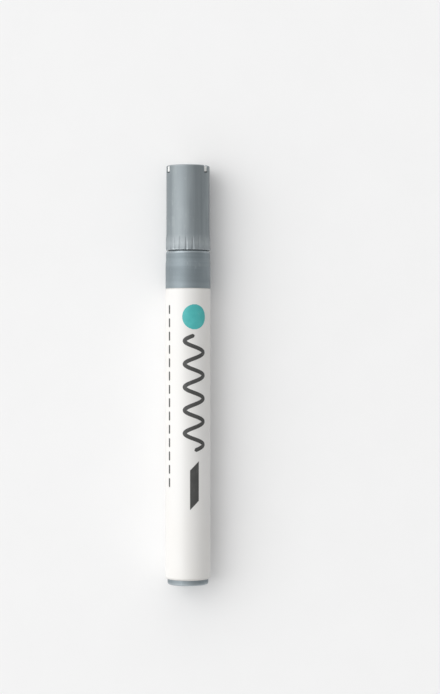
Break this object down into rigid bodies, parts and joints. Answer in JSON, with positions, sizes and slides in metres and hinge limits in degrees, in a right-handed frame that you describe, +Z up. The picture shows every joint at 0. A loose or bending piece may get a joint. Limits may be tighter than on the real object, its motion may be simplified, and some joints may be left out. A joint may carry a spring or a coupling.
{
  "type": "liquid chalk marker",
  "caption": "Round liquid chalk marker with a vented push-on cap, a spring-loaded reversible nib, a pump valve and a loose mixing ball in a white barrel.",
  "frame": {"origin": "on the table under the middle of the marker, which lies on its side", "axes": "+X along the marker towards the cap, +Z up from the table, the printed side of the barrel up"},
  "size_m": [0.139, 0.015, 0.015],
  "materials": {
    "barrel_white": "glossy white moulded plastic",
    "cap_grey": "satin slate-grey moulded plastic",
    "nib_fibre": "pressed off-white fibre",
    "valve_plastic": "natural moulded plastic",
    "seal_rubber": "soft black rubber",
    "spring_steel": "drawn stainless wire",
    "liner_white": "soft natural white plastic",
    "ball_steel": "polished steel"
  },
  "bodies": {
    "holder": {"barrel": "barrel_white", "tail_plug": "cap_grey", "front_section": "cap_grey", "valve_seal": "seal_rubber", "valve_cage": "valve_plastic", "valve_spring": "spring_steel"},
    "cap": {"cap_shell": "cap_grey", "cap_liner": "liner_white"},
    "nib_valve": {"nib": "nib_fibre", "valve_stem": "valve_plastic"},
    "ball": {"mixing_ball": "ball_steel"}
  },
  "joints": [
    {"name": "cap_pull", "type": "slide", "parent": "holder", "child": "cap", "axis": [1, 0, 0], "range_m": [0, 0.045]},
    {"name": "nib_press", "type": "slide", "parent": "holder", "child": "nib_valve", "axis": [1, 0, 0], "range_m": [-0.0025, 0], "stiffness_N_per_m": 400, "springref_m": 0.003, "deforming": ["valve_spring"]},
    {"name": "ball_travel", "type": "slide", "parent": "holder", "child": "ball", "axis": [1, 0, 0], "range_m": [0, 0.0693]}
  ]
}
